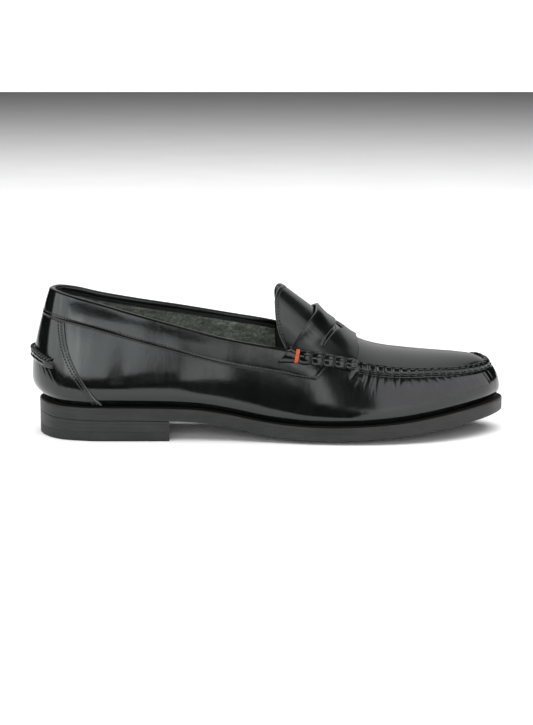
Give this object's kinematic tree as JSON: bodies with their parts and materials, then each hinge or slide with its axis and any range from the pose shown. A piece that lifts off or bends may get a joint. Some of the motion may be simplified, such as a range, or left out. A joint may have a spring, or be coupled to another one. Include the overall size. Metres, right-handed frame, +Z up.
{
  "type": "penny loafer",
  "caption": "Right-foot slip-on moccasin with a crowned apron, slotted saddle strap, rolled strap ends, stitched collar and a stacked heel.",
  "frame": {"origin": "on the ground, under the centre of the shoe's bounding box", "axes": "+X from heel to toe, +Z up, -Y the outer (lateral) side of the right foot"},
  "size_m": [0.3052, 0.1002, 0.0958],
  "materials": {
    "black_leather": "high-gloss brushed leather with a fine grain",
    "facing_leather": "soft satin leather",
    "suede_lining": "napped grey-green suede",
    "dark_lining": "dark matte leather lining",
    "sock_leather": "satin leather sock",
    "sole_leather": "dyed and burnished sole edge, satin",
    "heel_leather": "stacked leather, dyed and burnished",
    "rubber": "moulded rubber, matte",
    "steel": "bright drawn steel",
    "cork": "granulated cork paste",
    "insole_board": "pressed fibre board",
    "foam": "latex foam",
    "orange_thread": "waxed twisted thread",
    "black_thread": "waxed twisted thread"
  },
  "bodies": {
    "root": {"midsole": "sole_leather", "cork_filler": "cork", "steel_shank": "steel", "insole": "insole_board", "heel_pad": "foam", "sock_liner": "sock_leather", "outsole": "sole_leather", "top_piece": "rubber", "heel_lift_1": "heel_leather", "heel_lift_2": "heel_leather", "heel_lift_3": "heel_leather", "heel_nails": "steel", "moccasin_wall": "black_leather", "collar_band": "black_leather", "heel_counter_cover": "black_leather", "heel_stiffener": "insole_board", "heel_roll": "black_leather", "collar_facing": "facing_leather", "quarter_lining": "suede_lining", "vamp_lining": "dark_lining", "toe_puff": "insole_board", "apron": "black_leather", "apron_lining": "dark_lining", "tongue": "black_leather", "tongue_lining": "facing_leather", "saddle_strap": "black_leather", "beefroll_outer": "black_leather", "beefroll_inner": "black_leather", "roll_thread_orange": "orange_thread", "roll_thread_black": "black_thread", "apron_stitching": "black_thread"}
  },
  "joints": []
}
